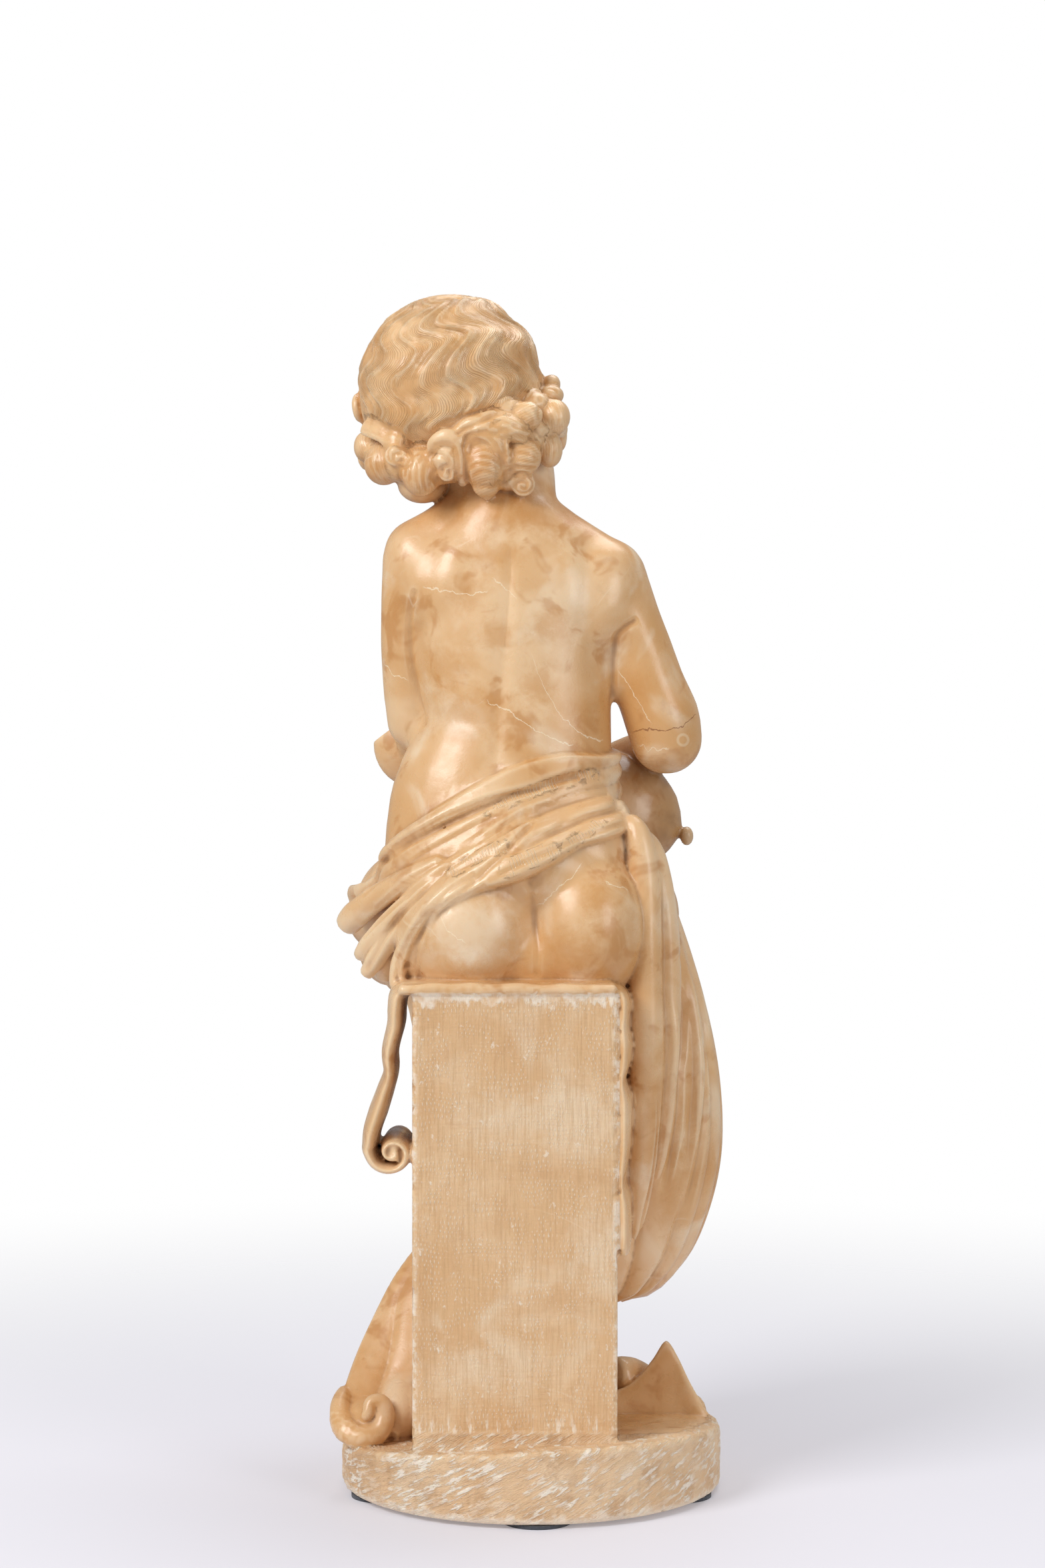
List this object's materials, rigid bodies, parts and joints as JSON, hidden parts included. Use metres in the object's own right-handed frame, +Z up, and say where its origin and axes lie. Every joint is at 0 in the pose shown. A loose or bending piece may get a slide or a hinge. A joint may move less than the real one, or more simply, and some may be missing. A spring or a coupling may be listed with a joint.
{
  "type": "alabaster putto statue",
  "caption": "Carved alabaster statue of a seated child playing a lute on a draped square block, one stone with its round base, on felt pads.",
  "frame": {"origin": "middle of the round base, at the underside of the felt pads", "axes": "+Z up; the figure looks along +Y, so its back and the plain face of the block are towards -Y; +X is the figure's right hand side"},
  "size_m": [0.2396, 0.2323, 0.7242],
  "materials": {
    "alabaster": "satin",
    "felt": "matte"
  },
  "bodies": {
    "root": {"statue": "alabaster", "felt_pad_front": "felt", "felt_pad_right": "felt", "felt_pad_back": "felt", "felt_pad_left": "felt"}
  },
  "joints": []
}
